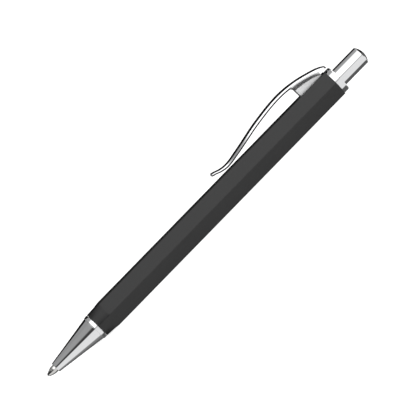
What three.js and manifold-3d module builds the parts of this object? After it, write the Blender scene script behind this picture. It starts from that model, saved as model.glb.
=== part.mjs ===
import * as THREE from "three";
import { mergeVertices } from "three/addons/utils/BufferGeometryUtils.js";
import Module from "manifold-3d";

// Click ballpoint pen with a hexagonal barrel, in millimetres.
// It lies on one flat of its barrel. X runs along the pen from the writing tip to the button, Z is up through
// the clip, and the origin is under the middle of the pen, on the surface that it lies on.
// A station is a distance from the end of the writing tip, measured with the tip out and latched.
// A height is a distance above the pen's axis.

const wasm = await Module();
wasm.setup();

// Gaps between pieces
const hairline = 0.03; // between faces that meet on the outside
const pressGap = 0.03; // round a piece that is pressed in
const slideGap = 0.1; // round a piece that slides

// Refill
const refillLength = 98.1;
const refillRadius = 3;
const refillWall = 0.3;
const shoulderStation = 18;
const shoulderLength = 1.5;
const neckWall = 0.57;
const neckStation = 11.8;
const stemRadius = 1.28;
const stemStation = 3.35; // where the tip's curved end has grown to its stem
const shankRadius = 0.85;
const shankLength = 4;
const ballRadius = 0.45;
const ballGap = 0.025;
const lipStation = 0.27;
const inkLength = 58;
const plugLength = 4;
const plugRim = 0.8;
const ventRadius = 0.6;
const neckRadius = shankRadius + pressGap + neckWall;

// Return spring
const wireRadius = 0.2;
const coilTurns = 9;
const coilGap = 0.2; // between the coil and the refill's neck
const coilRadius = neckRadius + coilGap + wireRadius;

// Across the nose and the barrel, from the refill outwards
const spigotWall = 0.3; // of the nose's spigot, under its thread
const threadDepth = 0.16;
const threadGap = 0.06;
const bushingWall = 0.19;
const bushingStep = 0.17; // the bushing is wider than the barrel's bore by this
const barrelWall = 0.8; // in the middle of a flat
const frontStep = 0.15; // the barrel's round front end stands back from its flats by this
const ringStep = 0.05; // and the ring from the front end
const noseStep = 0.2; // and the cone's base from the ring
const collarStep = 0.02; // and the rear collar from the flats
const refillBore = refillRadius + slideGap;
const threadRoot = refillBore + spigotWall;
const threadCrest = threadRoot + threadDepth;
const nutCrest = threadCrest + threadGap;
const bushingRadius = nutCrest + threadDepth + bushingWall;
const boreRadius = bushingRadius - bushingStep;
const axisHeight = boreRadius + barrelWall;
const frontRadius = axisHeight - frontStep;
const ringRadius = frontRadius - ringStep;
const noseRadius = ringRadius - noseStep;
const collarRadius = axisHeight - collarStep;

// Nose cone, its ring and its screw thread
const tipReach = 3.52;
const noseLength = 16.93;
const ringWidth = 1.35;
const mouthGap = 0.12;
const mouthWall = 0.325;
const springSeat = 9.5; // station of the step that the spring stands on
const springGap = 0.25;
const boreFlare = 2.5; // length of the flare between the spring's bore and the refill's
const threadPitch = 1;
const threadTurns = 6;
const spigotNeck = 1.2; // plain stretch between the ring and the first turn
const bushingInset = 0.4;
const mouthBore = stemRadius + mouthGap;
const mouthRadius = mouthBore + mouthWall;
const springBore = coilRadius + wireRadius + springGap;
const ringAt = tipReach + noseLength;
const barrelAt = ringAt + ringWidth;

// Hexagonal barrel
const barrelFlats = 2 * axisHeight;
const cornerRadius = 0.6;
const frontBlend = 5.1; // from the round front to the full hexagon
const endChamfer = 0.15;

// Click mechanism
const clickTravel = 5.5;
const overTravel = 1.8;
const ribCount = 4;
const ribAngle = 44; // degrees round the axis, for a rib of the sleeve
const keyAngle = 34; // and for a key that runs between two ribs
const ribRadius = 2.6; // the sleeve's ribs reach in to here
const ribGap = 0.12;
const sleeveWall = 0.5;
const sleeveFront = 6; // plain stretch of the sleeve before its ribs
const sleeveEndWall = 4.7;
const sleeveRoom = 0.96; // between the sleeve and the cap when the button is pushed right in
const rotorDiscWidth = 1;
const rotorDiscRadius = 2.8;
const rotorNeckRadius = 1.6;
const rotorNeckLength = 4;
const rotorKeyLength = 3.2;
const rotorPinRadius = 1.1;
const rotorPinLength = 2.6;
const plungerKeyLength = 3;
const toothHeight = 0.7;
const toothCount = 8;

// Button and rear collar
const capRadius = 3.14;
const capWall = 0.7;
const capInside = 6.3; // how far the cap reaches in behind the collar's outer face
const capDome = 0.95;
const capEdge = 0.25;
const buttonReach = 11.04;
const collarWidth = 1.76;
const collarChamfer = 0.25;
const collarSpigot = 1.7;

// Along the pen behind the refill. The barrel is as long as the refill and the click mechanism need.
const rotorAt = refillLength + slideGap;
const rotorKeyAt = rotorAt + rotorDiscWidth + rotorNeckLength;
const rotorKeyEnd = rotorKeyAt + rotorKeyLength;
const ribsAt = rotorKeyEnd + toothHeight / 2 + slideGap;
const plungerKeyAt = rotorKeyEnd + slideGap;
const plungerKeyEnd = plungerKeyAt + plungerKeyLength;
const ribsEnd = plungerKeyEnd + clickTravel + 3 * slideGap;
const sleeveAt = ribsAt - sleeveFront;
const sleeveEnd = ribsEnd + sleeveEndWall;
const capFront = sleeveEnd + overTravel + sleeveRoom;
const buttonAt = capFront + capInside;
const collarAt = buttonAt - collarWidth;
const penLength = buttonAt + buttonReach;

// Clip. Its reaches are distances ahead of its rear end, and its heights are over the barrel's flat.
const clipOverhang = 1.3; // past the barrel's rear end
const clipLength = 49.2;
const clipOuter = [
  [clipLength, 3.25],
  [clipLength - 1.4, 2.98],
  [clipLength - 3.6, 2.24],
  [clipLength - 6.6, 2.05],
  [0.744 * clipLength, 3.03],
  [0.561 * clipLength, 4.7],
  [0.368 * clipLength, 5.61],
  [10.6, 4.97],
  [3.2, 2.96],
  [0, 1.28],
]; // reach and height of the outer face along the middle
const clipThickness = 1.3;
const clipTipThickness = 1.1;
const clipHalfWidth = 2.25;
const clipTipHalfWidth = 1.3;
const clipTaper = 20; // length over which the clip widens from its tip
const clipEndRound = 0.5; // radius of both ends, seen from the side
const clipCrown = 0.47; // the outer face falls off this far to its edges
const clipLean = 0.16; // its edges stand in from the sides by this
const clipBevel = 0.32; // along the inner face
const rootReach = 12.2;
const rootLength = 9.4;
const rootHalfWidth = 1;
const rootInset = 0.06; // the root's widened top stands back from the clip's edge by this
const rootFillet = 1;
const rootSide = [
  [rootReach, 2.4],
  [rootReach - 4.6, 1.95],
  [rootReach - 6.9, 1.4],
  [rootReach - rootLength, 0.6],
]; // reach and height of the top edge of the root's upright side
const rootDropFront = 0.1; // the root has widened this far under the clip's lower face
const rootDropRear = 0.3;
const lugReach = 10.4;
const lugLength = 2.2;
const lugHalfWidth = 0.9;
const lugFoot = 0.9;
const lugFootThickness = 0.4;
const lugFootDrop = 0.5; // under the barrel's wall
const slotGap = 0.2;
const clipEnd = collarAt + clipOverhang;
const clipTip = clipEnd - clipLength;
const rootFront = clipEnd - rootReach;
const rootRear = rootFront + rootLength;
const lugFront = clipEnd - lugReach;
const lugRear = lugFront + lugLength;

const fineSteps = 48;
const steps = 32;

// Turns a closed surface into a solid with its faces outwards.
function solidOf(geometry) {
  const bare = geometry.clone();
  bare.deleteAttribute("normal");
  bare.deleteAttribute("uv");
  const merged = mergeVertices(bare, 1e-4);
  const index = merged.index.array;
  const triangles = [];
  for (let i = 0; i < index.length; i += 3) {
    const [a, b, c] = [index[i], index[i + 1], index[i + 2]];
    if (a !== b && b !== c && c !== a) triangles.push(a, b, c);
  }
  const build = (list) =>
    new wasm.Manifold(
      new wasm.Mesh({
        numProp: 3,
        vertProperties: merged.attributes.position.array,
        triVerts: new Uint32Array(list),
      }),
    );
  const made = build(triangles);
  return made.volume() > 0 ? made : build(triangles.reverse());
}

function geometryOf(solid) {
  const mesh = solid.getMesh();
  const geometry = new THREE.BufferGeometry();
  geometry.setAttribute("position", new THREE.BufferAttribute(mesh.vertProperties, 3));
  geometry.setIndex(new THREE.BufferAttribute(mesh.triVerts, 1));
  return geometry;
}

// A solid turned about the pen's axis, from a profile of [station, radius].
function turned(profile, around = steps) {
  const points = profile.map(([station, radius]) => new THREE.Vector2(radius, station));
  return solidOf(new THREE.LatheGeometry(points, around).rotateZ(-Math.PI / 2));
}

// A tube from a closed profile of [station, radius].
const sleeve = (profile, around = steps) => turned([...profile, profile[0]], around);

// Skins a row of rings that hold as many points each. Open rows are capped, and a closed row joins its last
// ring to its first.
function skinned(rings, closed = false) {
  const size = rings[0].length;
  const index = [];
  const pairs = closed ? rings.length : rings.length - 1;
  for (let k = 0; k < pairs; k++) {
    const next = (k + 1) % rings.length;
    for (let i = 0; i < size; i++) {
      const j = (i + 1) % size;
      const [a, b, c, d] = [k * size + i, k * size + j, next * size + j, next * size + i];
      index.push(a, b, c, a, c, d);
    }
  }
  if (!closed) {
    const last = (rings.length - 1) * size;
    for (let i = 1; i < size - 1; i++) {
      index.push(0, i + 1, i, last, last + i, last + i + 1);
    }
  }
  const geometry = new THREE.BufferGeometry();
  geometry.setAttribute("position", new THREE.Float32BufferAttribute(rings.flat(2), 3));
  geometry.setIndex(index);
  return solidOf(geometry);
}

const polar = (station, radius, angle) => [station, -radius * Math.sin(angle), radius * Math.cos(angle)];

// One point of each step round the axis, at a radius that may depend on the angle.
const roundRing = (station, radiusAt, around) =>
  Array.from({ length: around }, (_, i) => {
    const angle = (2 * Math.PI * i) / around;
    return polar(station, radiusAt(angle), angle);
  });

// A block between two radii and two angles, whose front and rear ends may slant from one side to the other.
function sector({ inner, outer, middle, width, front, rear, frontSlant = 0, rearSlant = 0 }) {
  const parts = 4;
  const rings = [];
  for (let i = 0; i <= parts; i++) {
    const share = i / parts;
    const angle = THREE.MathUtils.degToRad(middle + (share - 0.5) * width);
    const start = front + frontSlant * share;
    const end = rear + rearSlant * share;
    rings.push([
      polar(start, inner, angle),
      polar(start, outer, angle),
      polar(end, outer, angle),
      polar(end, inner, angle),
    ]);
  }
  return skinned(rings);
}

const joined = (first, ...rest) => rest.reduce((all, piece) => all.add(piece), first);

// An upright slab: an outline of [station, height], as wide across the pen as twice halfWidth.
function slab(outline, halfWidth) {
  const shape = new THREE.Shape(outline.map(([station, height]) => new THREE.Vector2(station, height)));
  const geometry = new THREE.ExtrudeGeometry(shape, { depth: 2 * halfWidth, bevelEnabled: false });
  return solidOf(geometry.translate(0, 0, -halfWidth).rotateX(Math.PI / 2));
}

// Height of a smooth line over the barrel's flat, through [reach, height] points of the clip.
function heightAlong(points) {
  const places = points.map(([reach, height]) => new THREE.Vector2(clipEnd - reach, axisHeight + height));
  const curve = new THREE.SplineCurve(places);
  return (station) => {
    let [low, high] = [0, 1];
    for (let i = 0; i < 30; i++) {
      const middle = (low + high) / 2;
      if (curve.getPoint(middle).x < station) low = middle;
      else high = middle;
    }
    return curve.getPoint(low).y;
  };
}

// Hexagonal ring with rounded corners and flats above and below
const flatShares = [0.25, 0.5, 0.75];
const cornerSteps = 4;
function hexRing(station, flats, radius) {
  const centre = (flats / 2 - radius) / Math.cos(Math.PI / 6);
  const ring = [];
  for (let side = 0; side < 6; side++) {
    const corner = Math.PI / 6 + (side * Math.PI) / 3;
    const arc = (turn) => {
      const angle = corner + turn;
      const [, y, z] = polar(0, radius, angle);
      const [, cy, cz] = polar(0, centre, corner);
      return [station, cy + y, cz + z];
    };
    for (let i = 0; i <= cornerSteps; i++) ring.push(arc(((i / cornerSteps - 0.5) * Math.PI) / 3));
    const [from, turn] = [arc(Math.PI / 6), Math.PI / 3];
    const next = polar(0, centre, corner + turn);
    const lead = polar(0, radius, corner + turn / 2);
    const to = [station, next[1] + lead[1], next[2] + lead[2]];
    for (const share of flatShares) {
      ring.push(from.map((value, axis) => value + (to[axis] - value) * share));
    }
  }
  return ring;
}

// The same directions as those of the hexagonal ring, on a circle
const circleRing = (station, radius) =>
  hexRing(station, barrelFlats, cornerRadius).map(([x, y, z]) => {
    const reach = Math.hypot(y, z);
    return [x, (y / reach) * radius, (z / reach) * radius];
  });

const bushingEnd = barrelAt + bushingInset + spigotNeck + threadTurns * threadPitch;
const slotAt = [lugFront - slotGap, lugRear + slotGap];

function barrel() {
  const front = barrelAt + hairline;
  const rings = [
    circleRing(front, frontRadius - endChamfer),
    circleRing(front + endChamfer, frontRadius),
    hexRing(barrelAt + frontBlend, barrelFlats, cornerRadius),
    hexRing(collarAt - endChamfer, barrelFlats, cornerRadius),
    hexRing(collarAt, barrelFlats - 2 * endChamfer, cornerRadius - endChamfer),
    circleRing(collarAt, boreRadius),
    circleRing(bushingEnd + pressGap, boreRadius),
    circleRing(bushingEnd + pressGap, bushingRadius + pressGap),
    circleRing(front, bushingRadius + pressGap),
  ];
  const slot = slab(
    [
      [slotAt[0], 0],
      [slotAt[1], 0],
      [slotAt[1], barrelFlats],
      [slotAt[0], barrelFlats],
    ],
    lugHalfWidth + slotGap,
  );
  return skinned(rings, true).subtract(slot);
}

// Rises and falls once in a pitch along the pen, and turns with the angle round it.
function threadShare(station, start, angle) {
  const phase = (station - start) / threadPitch - angle / (2 * Math.PI);
  return Math.abs(2 * (phase - Math.floor(phase)) - 1);
}

const threadSteps = 24;
const threadRows = 4; // in each pitch
const threadAt = barrelAt + spigotNeck;

function threadedRings(start, radiusAt) {
  const rows = threadTurns * threadRows;
  return Array.from({ length: rows + 1 }, (_, row) => {
    const station = start + (row * threadPitch) / threadRows;
    return roundRing(station, (angle) => radiusAt(threadShare(station, start, angle)), threadSteps);
  });
}

function noseCone() {
  const shellEnd = ringAt;
  const spigotEnd = threadAt + threadTurns * threadPitch;
  const flareAt = shoulderStation - overTravel - boreFlare / 2;
  const body = sleeve(
    [
      [tipReach, mouthBore],
      [tipReach, mouthRadius - endChamfer],
      [tipReach + endChamfer, mouthRadius],
      [shellEnd, noseRadius],
      [shellEnd, threadRoot],
      [spigotEnd, threadRoot],
      [spigotEnd, refillBore],
      [flareAt + boreFlare, refillBore],
      [flareAt, springBore],
      [springSeat, springBore],
      [springSeat, mouthBore],
    ],
    fineSteps,
  );
  const underThread = (spigotAt) => roundRing(spigotAt, () => threadRoot - spigotWall / 2, threadSteps);
  const thread = threadedRings(threadAt, (share) => threadRoot - 0.02 + (threadDepth + 0.02) * share);
  return body.add(skinned([...thread, underThread(spigotEnd), underThread(threadAt)], true));
}

function noseRing() {
  const edge = 0.12;
  const [front, rear] = [ringAt + hairline, barrelAt - hairline];
  const bore = threadCrest + pressGap;
  return sleeve(
    [
      [front, bore],
      [front, ringRadius - edge],
      [front + edge, ringRadius],
      [rear - edge, ringRadius],
      [rear, ringRadius - edge],
      [rear, bore],
    ],
    fineSteps,
  );
}

// Threaded lining of the barrel's front end
function threadedBushing() {
  const front = barrelAt + bushingInset;
  const inside = threadedRings(threadAt, (share) => nutCrest + threadDepth * (1 - share));
  const plain = (station, radius) => roundRing(station, () => radius, threadSteps);
  const entry = nutCrest + threadDepth;
  return skinned(
    [
      plain(front, entry),
      ...inside,
      plain(bushingEnd, entry),
      plain(bushingEnd, bushingRadius),
      plain(front, bushingRadius),
    ],
    true,
  );
}

function rearCollar() {
  const bore = capRadius + slideGap;
  const spigot = boreRadius - pressGap;
  const front = collarAt - collarSpigot;
  return sleeve(
    [
      [front, bore],
      [front, spigot],
      [collarAt + hairline, spigot],
      [collarAt + hairline, collarRadius],
      [buttonAt - collarChamfer, collarRadius],
      [buttonAt, collarRadius - collarChamfer],
      [buttonAt, bore],
    ],
    fineSteps,
  );
}

// A cylinder's end that is domed like a lens behind a small edge
function domePoints(end, radius, dome, edge) {
  const rim = radius - edge;
  const sphere = (rim * rim + dome * dome) / (2 * dome);
  const points = [];
  const count = 6;
  for (let i = 0; i <= count; i++) {
    const r = (rim * (count - i)) / count;
    points.push([end - sphere + Math.sqrt(sphere * sphere - r * r), r]);
  }
  return points;
}

const capBore = capRadius - capWall;

function buttonCap() {
  const shellEnd = penLength - capDome - capEdge;
  return turned(
    [
      [shellEnd - capWall, 0],
      [shellEnd - capWall, capBore],
      [capFront, capBore],
      [capFront, capRadius - capEdge / 2],
      [capFront + capEdge / 2, capRadius],
      [shellEnd, capRadius],
      ...domePoints(penLength, capRadius, capDome, capEdge),
    ],
    fineSteps,
  );
}

const sleeveRadius = boreRadius - pressGap;
const sleeveBore = sleeveRadius - sleeveWall;
const keyRadius = sleeveBore - slideGap;
const keyBodyRadius = ribRadius - ribGap;
const plungerRadius = capBore - 2 * slideGap;
const stemHole = plungerRadius + slideGap;
const spokes = Array.from({ length: ribCount }, (_, i) => (i * 360) / ribCount);

// Sleeve that is fixed in the barrel, with the ribs that the rotor climbs on
function camSleeve() {
  const tube = sleeve([
    [sleeveAt, sleeveBore],
    [sleeveAt, sleeveRadius],
    [sleeveEnd, sleeveRadius],
    [sleeveEnd, stemHole],
    [ribsEnd, stemHole],
    [ribsEnd, sleeveBore],
  ]);
  const ribs = spokes.map((spoke) =>
    sector({
      inner: ribRadius,
      outer: sleeveBore + sleeveWall / 2,
      middle: spoke + 180 / ribCount,
      width: ribAngle,
      front: ribsAt,
      rear: ribsEnd + sleeveWall,
      frontSlant: toothHeight,
    }),
  );
  const footHeight = boreRadius - lugFootDrop - lugFootThickness - slotGap;
  const clearance = lugFoot + slotGap;
  const notch = slab(
    [
      [lugFront - clearance, footHeight],
      [sleeveEnd + 1, footHeight],
      [sleeveEnd + 1, barrelFlats],
      [lugFront - clearance, barrelFlats],
    ],
    lugHalfWidth + slotGap,
  );
  return joined(tube, ...ribs).subtract(notch);
}

// Turns one step at each click and holds the refill out or lets it back.
function rotorCam() {
  const body = turned([
    [rotorAt, 0],
    [rotorAt, rotorDiscRadius],
    [rotorAt + rotorDiscWidth, rotorDiscRadius],
    [rotorAt + rotorDiscWidth, rotorNeckRadius],
    [rotorKeyAt, rotorNeckRadius],
    [rotorKeyAt, keyBodyRadius],
    [rotorKeyEnd - toothHeight, keyBodyRadius],
    [rotorKeyEnd - toothHeight, rotorPinRadius],
    [rotorKeyEnd + rotorPinLength, rotorPinRadius],
    [rotorKeyEnd + rotorPinLength, 0],
  ]);
  const keys = spokes.map((spoke) =>
    sector({
      inner: rotorPinRadius + slideGap,
      outer: keyRadius,
      middle: spoke,
      width: keyAngle,
      front: rotorKeyAt,
      rear: rotorKeyEnd - toothHeight / 2,
      rearSlant: toothHeight / 2,
    }),
  );
  return joined(body, ...keys);
}

// Carries the button's push to the rotor through a crown of slanted teeth.
function plunger() {
  const socket = rotorPinRadius + slideGap;
  const toothRoot = plungerKeyAt + toothHeight;
  const socketEnd = rotorKeyEnd + rotorPinLength + clickTravel / 2;
  const capTop = penLength - capDome - capEdge - capWall;
  const body = turned([
    [socketEnd, 0],
    [socketEnd, socket],
    [toothRoot, socket],
    [toothRoot, keyBodyRadius],
    [plungerKeyEnd, keyBodyRadius],
    [plungerKeyEnd, plungerRadius],
    [capTop - slideGap, plungerRadius],
    [capTop - slideGap, 0],
  ]);
  const keys = spokes.map((spoke) =>
    sector({
      inner: socket + slideGap,
      outer: keyRadius,
      middle: spoke,
      width: keyAngle,
      front: toothRoot,
      rear: plungerKeyEnd,
    }),
  );
  const teeth = Array.from({ length: toothCount }, (_, i) =>
    sector({
      inner: socket,
      outer: keyBodyRadius,
      middle: (i * 360) / toothCount,
      width: 360 / toothCount - 6,
      front: plungerKeyAt,
      rear: toothRoot + slideGap,
      frontSlant: toothHeight / 2,
    }),
  );
  return joined(body, ...keys, ...teeth);
}

// Steel spring between the nose's seat and the refill's shoulder
function returnSpring() {
  const start = springSeat + wireRadius + slideGap / 2;
  const end = shoulderStation - wireRadius - slideGap / 2;
  const curlSteps = 8;
  const endTurns = 1; // the wire lies nearly flat at both ends
  const wireSides = 5;
  const closePitch = 2 * wireRadius + 0.05;
  const openPitch = (end - start - 2 * endTurns * closePitch) / (coilTurns - 2 * endTurns);
  class Helix extends THREE.Curve {
    getPoint(t, target = new THREE.Vector3()) {
      const turn = t * coilTurns;
      const opened = Math.min(Math.max(turn - endTurns, 0), coilTurns - 2 * endTurns);
      const x = start + opened * openPitch + (turn - opened) * closePitch;
      const [, y, z] = polar(0, coilRadius, turn * 2 * Math.PI);
      return target.set(x, y, z);
    }
  }
  const helix = new Helix();
  const count = coilTurns * curlSteps;
  const rings = [];
  for (let i = 0; i <= count; i++) {
    const centre = helix.getPoint(i / count);
    const outward = new THREE.Vector3(0, centre.y, centre.z).normalize();
    const along = new THREE.Vector3(1, 0, 0);
    rings.push(
      Array.from({ length: wireSides }, (_, k) => {
        const angle = (2 * Math.PI * k) / wireSides;
        const point = centre.clone();
        point.addScaledVector(outward, wireRadius * Math.cos(angle));
        point.addScaledVector(along, wireRadius * Math.sin(angle));
        return point.toArray();
      }),
    );
  }
  return skinned(rings);
}

function refillTube() {
  const shankHole = shankRadius + pressGap;
  const cavity = refillRadius - refillWall;
  const cavityAt = shoulderStation + shoulderLength;
  return sleeve([
    [neckStation + hairline, shankHole],
    [neckStation + hairline, neckRadius],
    [shoulderStation, neckRadius],
    [cavityAt, refillRadius],
    [refillLength - plugRim - hairline, refillRadius],
    [refillLength - plugRim - hairline, cavity],
    [cavityAt + refillWall, cavity],
    [shoulderStation + refillWall, shankHole],
  ]);
}

// Brass point: a curved end that holds the ball, a stem, and a shank in the tube's neck
function refillTip() {
  const socket = ballRadius + ballGap;
  const wall = 0.07;
  const inkHole = 0.2;
  const lipRadius = Math.sqrt(socket ** 2 - (ballRadius - lipStation) ** 2);
  const outside = [];
  const noseSteps = 8;
  for (let i = 0; i <= noseSteps; i++) {
    const share = i / noseSteps;
    const station = lipStation + (stemStation - lipStation) * share;
    const radius = lipRadius + wall + (stemRadius - lipRadius - wall) * Math.sin((share * Math.PI) / 2);
    outside.push([station, radius]);
  }
  const inside = [];
  const socketSteps = 6;
  const first = Math.asin(inkHole / socket);
  const last = Math.PI - Math.asin(lipRadius / socket);
  for (let i = 0; i <= socketSteps; i++) {
    const angle = first + ((last - first) * i) / socketSteps;
    inside.push([ballRadius + socket * Math.cos(angle), socket * Math.sin(angle)]);
  }
  return sleeve([
    ...outside,
    [neckStation, stemRadius],
    [neckStation, shankRadius],
    [neckStation + shankLength, shankRadius],
    [neckStation + shankLength, inkHole],
    ...inside,
  ]);
}

function writingBall() {
  return solidOf(new THREE.SphereGeometry(ballRadius, 16, 10).translate(ballRadius, 0, 0));
}

function inkColumn() {
  const start = shoulderStation + shoulderLength + 2 * refillWall;
  const radius = refillRadius - refillWall - pressGap;
  return turned([
    [start, 0],
    [start, radius],
    [start + inkLength, radius],
    [start + inkLength, 0],
  ]);
}

// Vented plug whose rim closes the tube and meets the rotor
function refillPlug() {
  const bore = refillRadius - refillWall - pressGap;
  return sleeve([
    [refillLength - plugLength, ventRadius],
    [refillLength - plugLength, bore],
    [refillLength - plugRim, bore],
    [refillLength - plugRim, refillRadius],
    [refillLength, refillRadius],
    [refillLength, ventRadius],
  ]);
}

// Share of the full size at a distance from an end that is rounded at the given radius
const roundOff = (distance, radius) =>
  distance >= radius ? 1 : Math.sqrt(1 - (1 - distance / radius) ** 2);

// Half the clip's width, with both ends rounded in plan
function clipHalfWidthAt(station) {
  const [fromTip, fromEnd] = [station - clipTip, clipEnd - station];
  const grown = Math.min(fromTip / clipTaper, 1);
  const straight = THREE.MathUtils.lerp(clipTipHalfWidth, clipHalfWidth, grown);
  return straight * roundOff(fromTip, clipTipHalfWidth) * roundOff(fromEnd, clipHalfWidth);
}

// The clip's section: a crowned outer face, sides that lean in towards it, and a bevelled inner face
function clipRing(station, outerHeight) {
  const grown = THREE.MathUtils.smoothstep(station - clipTip, 0, clipTaper / 2);
  const thickness = THREE.MathUtils.lerp(clipTipThickness, clipThickness, grown);
  const ends = roundOff(Math.min(station - clipTip, clipEnd - station), clipEndRound);
  const middle = outerHeight - thickness / 2;
  const [top, bottom] = [middle + (ends * thickness) / 2, middle - (ends * thickness) / 2];
  const width = clipHalfWidthAt(station);
  const size = Math.min(ends, width / clipTipHalfWidth);
  const shoulder = width - clipLean * size;
  const crownShares = [1 / 3, 2 / 3, 1];
  const half = [
    ...crownShares.map((share) => [shoulder * share, top - clipCrown * size * share ** 2]),
    [width, bottom + clipBevel * size],
    [width - clipBevel * size, bottom],
  ];
  const mirrored = half.map(([y, z]) => [-y, z]).reverse();
  return [[0, top], ...half, ...mirrored].map(([y, z]) => [station, y, z]);
}

function clip() {
  const outer = heightAlong(clipOuter);
  const roundAngles = [0.12, 0.4, 0.75, 1.15, Math.PI / 2];
  const tipStations = roundAngles.map((a) => clipTip + clipTipHalfWidth * (1 - Math.cos(a)));
  const endStations = roundAngles.map((a) => clipEnd - clipHalfWidth * (1 - Math.cos(a))).reverse();
  const middle = 22;
  const [from, to] = [tipStations.at(-1), endStations[0]];
  const stations = [...tipStations];
  for (let i = 1; i < middle; i++) stations.push(from + ((to - from) * i) / middle);
  stations.push(...endStations);
  const band = skinned(stations.map((station) => clipRing(station, outer(station))));
  const foot = axisHeight + hairline;
  const side = heightAlong(rootSide);
  const rows = 8;
  const root = skinned(
    Array.from({ length: rows + 1 }, (_, i) => {
      const station = rootFront + ((rootRear - rootFront) * i) / rows;
      const width = clipHalfWidth - rootInset;
      const drop = THREE.MathUtils.lerp(rootDropFront, rootDropRear, i / rows);
      const half = [
        [rootHalfWidth, foot],
        [rootHalfWidth, side(station)],
        [width, outer(station) - clipThickness - drop],
        [width, outer(station) - clipThickness + clipBevel],
      ];
      const mirrored = half.map(([y, z]) => [-y, z]).reverse();
      return [...half, ...mirrored].map(([y, z]) => [station, y, z]);
    }),
  );
  const cornerAt = rootFront + hairline - rootFillet;
  const under = outer(cornerAt) - clipThickness + hairline;
  const fillet = new THREE.Shape();
  fillet.moveTo(cornerAt + 2 * rootFillet, under - rootFillet);
  fillet.absarc(cornerAt, under - rootFillet, rootFillet, 0, Math.PI / 2);
  fillet.lineTo(cornerAt, under + clipThickness / 2);
  fillet.lineTo(cornerAt + 2 * rootFillet, under + clipThickness / 3);
  const web = slab(fillet.getPoints(4).map((p) => [p.x, p.y]), rootHalfWidth - rootInset);
  const toeTop = boreRadius - lugFootDrop;
  const toe = toeTop - lugFootThickness;
  const lug = slab(
    [
      [lugRear, foot + rootFillet],
      [lugFront, foot + rootFillet],
      [lugFront, toeTop],
      [lugFront - lugFoot, toeTop],
      [lugFront - lugFoot, toe],
      [lugRear, toe],
    ],
    lugHalfWidth,
  );
  return joined(band, root, web, lug);
}

const finish = (colour, roughness, metalness) =>
  new THREE.MeshStandardMaterial({ color: colour, roughness, metalness });
const chrome = finish(0xdfe1e4, 0.1, 1);
const softBlack = finish(0x2a2b2d, 0.7, 0);
const brass = finish(0xb99a55, 0.3, 1);
const steel = finish(0xb9bcc0, 0.3, 1);
const whitePlastic = finish(0xe9e6dd, 0.45, 0);
const blackPlastic = finish(0x1c1c1e, 0.45, 0);
const ink = finish(0x101a4a, 0.2, 0);
const carbide = finish(0x8d9094, 0.15, 1);

const pieces = {
  barrel: [barrel, softBlack],
  threaded_bushing: [threadedBushing, brass],
  nose_cone: [noseCone, chrome],
  nose_ring: [noseRing, chrome],
  rear_collar: [rearCollar, chrome],
  clip: [clip, chrome],
  button_cap: [buttonCap, chrome],
  cam_sleeve: [camSleeve, whitePlastic],
  plunger: [plunger, blackPlastic],
  rotor_cam: [rotorCam, whitePlastic],
  return_spring: [returnSpring, steel],
  refill_tube: [refillTube, steel],
  refill_tip: [refillTip, brass],
  writing_ball: [writingBall, carbide],
  ink_column: [inkColumn, ink],
  refill_plug: [refillPlug, blackPlastic],
};

const pen = new THREE.Group();
pen.position.set(-penLength / 2, 0, axisHeight);
for (const [name, [shape, material]] of Object.entries(pieces)) {
  const mesh = new THREE.Mesh(geometryOf(shape()), material);
  mesh.name = name;
  pen.add(mesh);
}

export default pen;
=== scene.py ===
import math

import bmesh
import bpy
from mathutils import Matrix, Vector


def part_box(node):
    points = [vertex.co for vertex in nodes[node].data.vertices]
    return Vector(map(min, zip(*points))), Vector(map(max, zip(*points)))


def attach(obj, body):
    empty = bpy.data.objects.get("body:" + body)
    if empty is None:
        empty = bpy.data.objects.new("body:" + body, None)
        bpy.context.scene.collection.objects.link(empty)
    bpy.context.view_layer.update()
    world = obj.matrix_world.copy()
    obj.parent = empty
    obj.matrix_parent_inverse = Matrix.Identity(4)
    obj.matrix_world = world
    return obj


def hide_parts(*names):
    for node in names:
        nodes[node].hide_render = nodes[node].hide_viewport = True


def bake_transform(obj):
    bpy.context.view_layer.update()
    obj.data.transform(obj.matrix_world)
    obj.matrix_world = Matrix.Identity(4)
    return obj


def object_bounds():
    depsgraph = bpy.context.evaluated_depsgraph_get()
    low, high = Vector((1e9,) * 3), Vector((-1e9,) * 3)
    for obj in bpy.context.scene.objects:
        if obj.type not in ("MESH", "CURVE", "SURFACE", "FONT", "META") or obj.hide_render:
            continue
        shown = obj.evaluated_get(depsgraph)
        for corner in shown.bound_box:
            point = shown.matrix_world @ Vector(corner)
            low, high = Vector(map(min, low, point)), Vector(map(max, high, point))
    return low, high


# Click ballpoint pen: matt black hexagonal barrel, polished chrome nose, ring, collar, clip and button.
# Stations run in millimetres from the end of the writing tip, heights from the pen's axis.
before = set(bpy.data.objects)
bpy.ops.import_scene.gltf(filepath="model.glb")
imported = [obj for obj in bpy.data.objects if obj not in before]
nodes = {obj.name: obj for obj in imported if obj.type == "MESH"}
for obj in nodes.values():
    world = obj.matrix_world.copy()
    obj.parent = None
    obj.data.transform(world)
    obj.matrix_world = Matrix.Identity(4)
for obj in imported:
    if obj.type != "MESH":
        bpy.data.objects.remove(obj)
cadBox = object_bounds()
mm = 0.001
tipX = cadBox[0].x
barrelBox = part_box("barrel")
axisZ = (barrelBox[0].z + barrelBox[1].z) / 2
print("frame loaded")


def station(x):
    return (x - tipX) / mm


def stationsOf(name):
    low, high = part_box(name)
    return station(low.x), station(high.x)


def radiusOf(name):
    low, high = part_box(name)
    return (high.z - low.z) / 2 / mm


def place(at, side, height):
    return Vector((tipX + at * mm, side * mm, axisZ + height * mm))


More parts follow.
